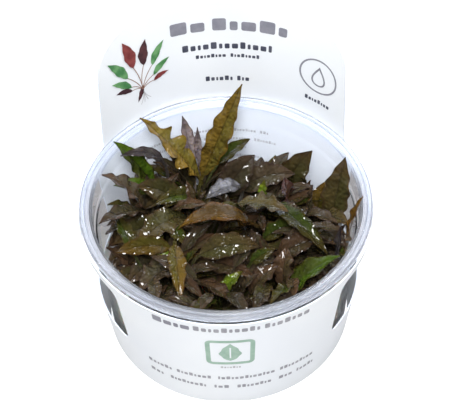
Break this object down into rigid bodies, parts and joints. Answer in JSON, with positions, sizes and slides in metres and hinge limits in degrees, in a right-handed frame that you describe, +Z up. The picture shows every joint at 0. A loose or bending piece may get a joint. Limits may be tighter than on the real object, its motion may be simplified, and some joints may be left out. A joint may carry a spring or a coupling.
{
  "type": "potted cryptocoryne plant",
  "caption": "Young aquarium plants with lance-shaped brown and green leaves, standing on growing gel in a clear round cup with a white card sleeve.",
  "frame": {"origin": "centre of the cup's flat base, on the surface that it stands on", "axes": "+Z up along the cup's axis, -Y towards the front of the sleeve, +Y towards its raised header card"},
  "size_m": [0.101, 0.1063, 0.0975],
  "materials": {
    "clear_plastic": "clear thin polypropylene, glossy and slightly milky",
    "growing_gel": "translucent wet agar gel",
    "white_card": null,
    "rhizome": "wet plant tissue, short rhizome with small basal leaves",
    "leaf_golden": "wet glossy leaf with a darker midrib and veins",
    "leaf_olive": "wet glossy leaf with a darker midrib and veins",
    "leaf_brown": "wet glossy leaf with a darker midrib and veins",
    "leaf_dark": "wet glossy leaf with a darker midrib and veins",
    "leaf_green": "wet glossy leaf with a darker midrib and veins",
    "leaf_lime": "wet glossy leaf with a darker midrib and veins",
    "leaf_orange": "wet glossy leaf with a darker midrib and veins",
    "leaf_purple": "wet glossy leaf with a darker midrib and veins",
    "leaf_red": "wet glossy leaf with a darker midrib and veins"
  },
  "bodies": {
    "root": {"cup": "clear_plastic", "growing_gel": "growing_gel", "sleeve": "white_card", "crown_back_left": "rhizome", "crown_left": "rhizome", "crown_front_left": "rhizome", "crown_centre": "rhizome", "crown_back_right": "rhizome", "crown_right_rear": "rhizome", "crown_right": "rhizome", "crown_front_right": "rhizome", "crown_front": "rhizome", "leaf_tall_gold": "leaf_golden", "leaf_left_gold": "leaf_golden", "leaf_orange_fold": "leaf_orange", "leaf_right_olive": "leaf_olive", "leaf_orange_right": "leaf_orange", "leaf_long_green": "leaf_green", "leaf_left_green": "leaf_green", "leaf_bright_left": "leaf_green", "leaf_left_brown": "leaf_brown", "leaf_dark_left": "leaf_dark", "leaf_big_green": "leaf_green", "leaf_droop_gold": "leaf_golden", "leaf_olive_middle": "leaf_olive", "leaf_back_dark": "leaf_dark", "leaf_back_dark_low": "leaf_dark", "leaf_right_curl": "leaf_olive", "leaf_broad_green": "leaf_olive", "leaf_olive_left": "leaf_olive", "leaf_lens_left": "leaf_golden", "leaf_green_spear": "leaf_green", "leaf_silver": "leaf_purple", "leaf_grey_olive": "leaf_olive", "leaf_brown_long": "leaf_brown", "leaf_front_brown": "leaf_brown", "leaf_purple_spear": "leaf_purple", "leaf_small_spear": "leaf_purple", "leaf_brown_olive": "leaf_golden", "leaf_dark_pointed": "leaf_dark", "leaf_reddish": "leaf_red", "leaf_grey_thin": "leaf_purple", "leaf_small_green": "leaf_green", "leaf_brown_right": "leaf_brown", "leaf_brown_orange": "leaf_brown", "leaf_grey_brown": "leaf_brown", "leaf_silver_right": "leaf_purple", "leaf_arch_purple": "leaf_purple", "leaf_olive_inner_left": "leaf_olive", "leaf_dark_front_left": "leaf_dark", "leaf_dark_front_edge": "leaf_dark", "leaf_lens_low": "leaf_golden", "leaf_lime_short": "leaf_lime", "leaf_yellow_green": "leaf_lime", "leaf_lime_back": "leaf_lime", "leaf_lime_middle": "leaf_lime", "leaf_small_brown_left": "leaf_brown", "leaf_front_right_dark": "leaf_dark", "leaf_right_dark": "leaf_dark", "leaf_front_dark": "leaf_dark"}
  },
  "joints": []
}
